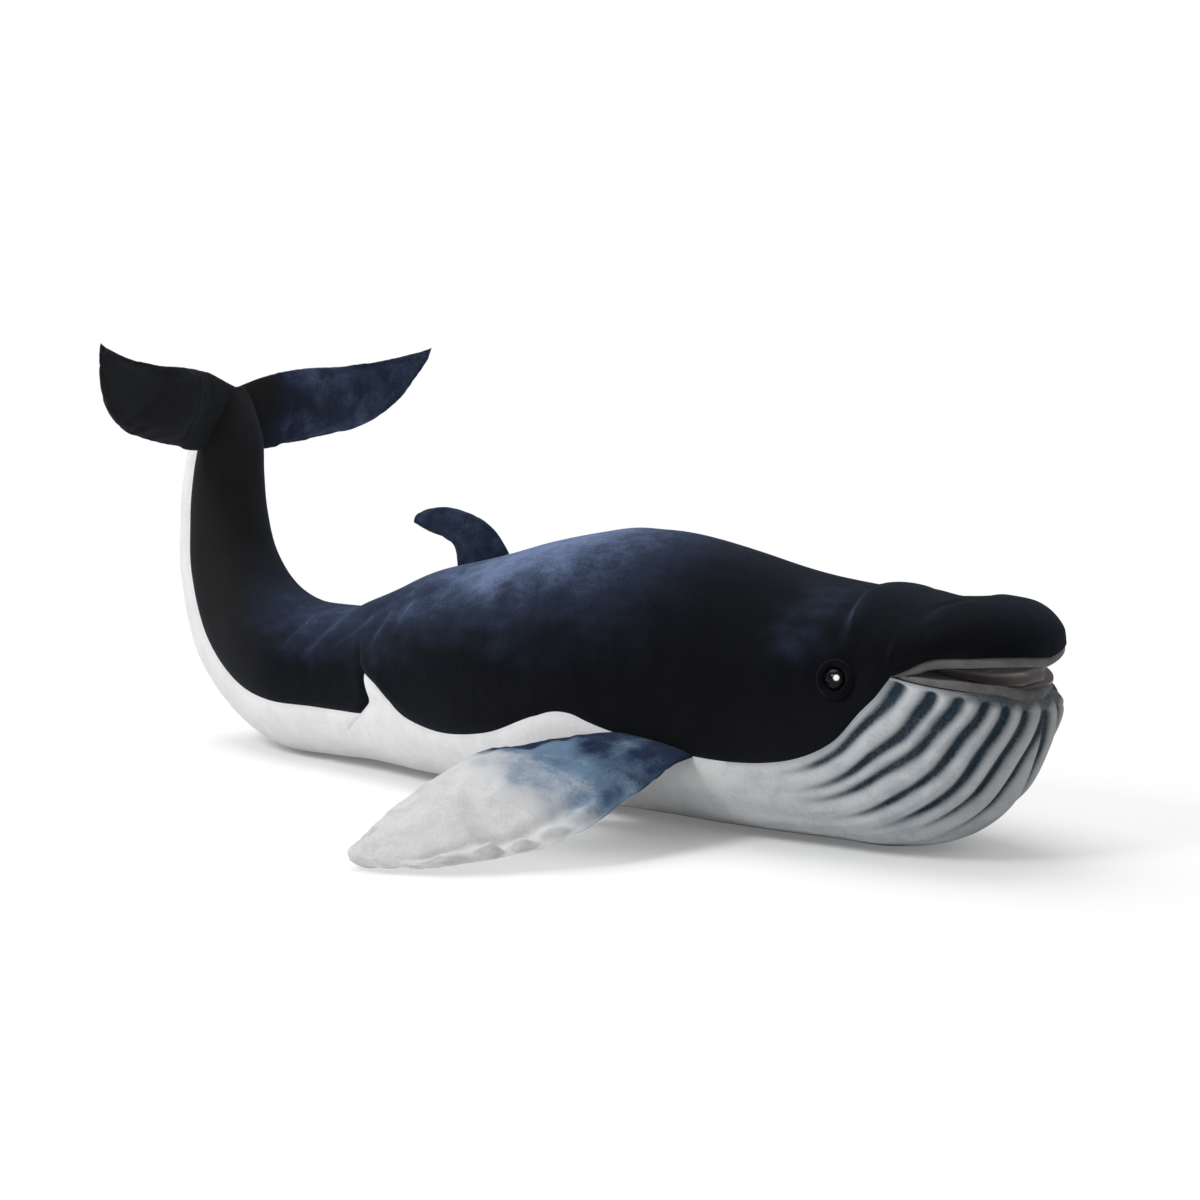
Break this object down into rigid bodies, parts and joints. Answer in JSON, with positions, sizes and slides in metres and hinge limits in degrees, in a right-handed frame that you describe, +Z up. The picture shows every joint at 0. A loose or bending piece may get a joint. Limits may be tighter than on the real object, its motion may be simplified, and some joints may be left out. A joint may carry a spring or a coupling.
{
  "type": "plush whale",
  "caption": "Soft stuffed whale resting on its belly, with a raised tail and flukes, a small back fin, long flippers, a pleated throat and an open mouth.",
  "frame": {"origin": "on the floor, under the middle of the whole toy", "axes": "+X towards the snout, +Y to the left of the whale, +Z up"},
  "size_m": [0.6447, 0.4744, 0.2631],
  "materials": {
    "navy_plush": "short pile, dark navy",
    "black_plush": "short pile, blue-black",
    "white_plush": "short pile, white",
    "throat_plush": "pleated short pile, pale grey and white",
    "blue_white_plush": "short pile, white shaded with blue",
    "grey_lip": "short pile, grey",
    "brown_lip": "short pile, warm grey",
    "tongue_fabric": "smooth cloth, warm grey",
    "fiberfill": "polyester filling",
    "gloss_eye": "polished black",
    "washer_plastic": "moulded",
    "armature_steel": "drawn wire"
  },
  "bodies": {
    "whale": {"back_cover_right": "navy_plush", "back_cover_left": "navy_plush", "belly_cover": "white_plush", "throat_cover": "throat_plush", "body_filling": "fiberfill", "snout_filling": "fiberfill", "upper_lip_band": "grey_lip", "lower_lip_band": "brown_lip", "palate": "tongue_fabric", "mouth_floor": "tongue_fabric", "tongue": "tongue_fabric", "eye_right": "gloss_eye", "eye_left": "gloss_eye", "eye_washer_right": "washer_plastic", "eye_washer_left": "washer_plastic", "eyelid_right": "navy_plush", "eyelid_left": "navy_plush"},
    "tail": {"tail_cover_right": "black_plush", "tail_cover_left": "black_plush", "tail_belly_cover": "white_plush", "tail_filling": "fiberfill", "tail_wire": "armature_steel"},
    "fluke_right": {"fluke_right_top_cover": "navy_plush", "fluke_right_under_cover": "black_plush", "fluke_right_filling": "fiberfill"},
    "flipper_right": {"flipper_right_top_cover": "blue_white_plush", "flipper_right_under_cover": "white_plush", "flipper_right_filling": "fiberfill"},
    "fluke_left": {"fluke_left_top_cover": "navy_plush", "fluke_left_under_cover": "black_plush", "fluke_left_filling": "fiberfill"},
    "flipper_left": {"flipper_left_top_cover": "blue_white_plush", "flipper_left_under_cover": "white_plush", "flipper_left_filling": "fiberfill"},
    "dorsal_fin": {"dorsal_fin_cover_left": "navy_plush", "dorsal_fin_cover_right": "navy_plush", "dorsal_fin_filling": "fiberfill"}
  },
  "joints": [
    {"name": "tail_bend", "type": "hinge", "parent": "whale", "child": "tail", "pos_m": [-0.15674, 0, 0.10102], "axis": [0, 1, 0], "range_deg": [0, 12]},
    {"name": "fluke_right_flex", "type": "hinge", "parent": "tail", "child": "fluke_right", "pos_m": [-0.28583, -0.02633, 0.21351], "axis": [0.2365, 0.1966, 0.9515], "range_deg": [-20, 20], "stiffness_Nm_per_rad": 0.08},
    {"name": "fluke_left_flex", "type": "hinge", "parent": "tail", "child": "fluke_left", "pos_m": [-0.28583, 0.02633, 0.21351], "axis": [0.2365, -0.1966, 0.9515], "range_deg": [-20, 20], "stiffness_Nm_per_rad": 0.08},
    {"name": "flipper_right_lift", "type": "hinge", "parent": "whale", "child": "flipper_right", "pos_m": [0.112, -0.08468, 0.05333], "axis": [-0.9924, -0.0644, 0.1052], "range_deg": [0, 45]},
    {"name": "flipper_left_lift", "type": "hinge", "parent": "whale", "child": "flipper_left", "pos_m": [0.112, 0.08468, 0.05333], "axis": [0.9924, -0.0644, -0.1052], "range_deg": [0, 45]},
    {"name": "dorsal_fin_flex", "type": "hinge", "parent": "whale", "child": "dorsal_fin", "pos_m": [-0.07232, 0, 0.1414], "axis": [0.9693, 0, 0.2457], "range_deg": [-25, 25], "stiffness_Nm_per_rad": 0.02}
  ]
}
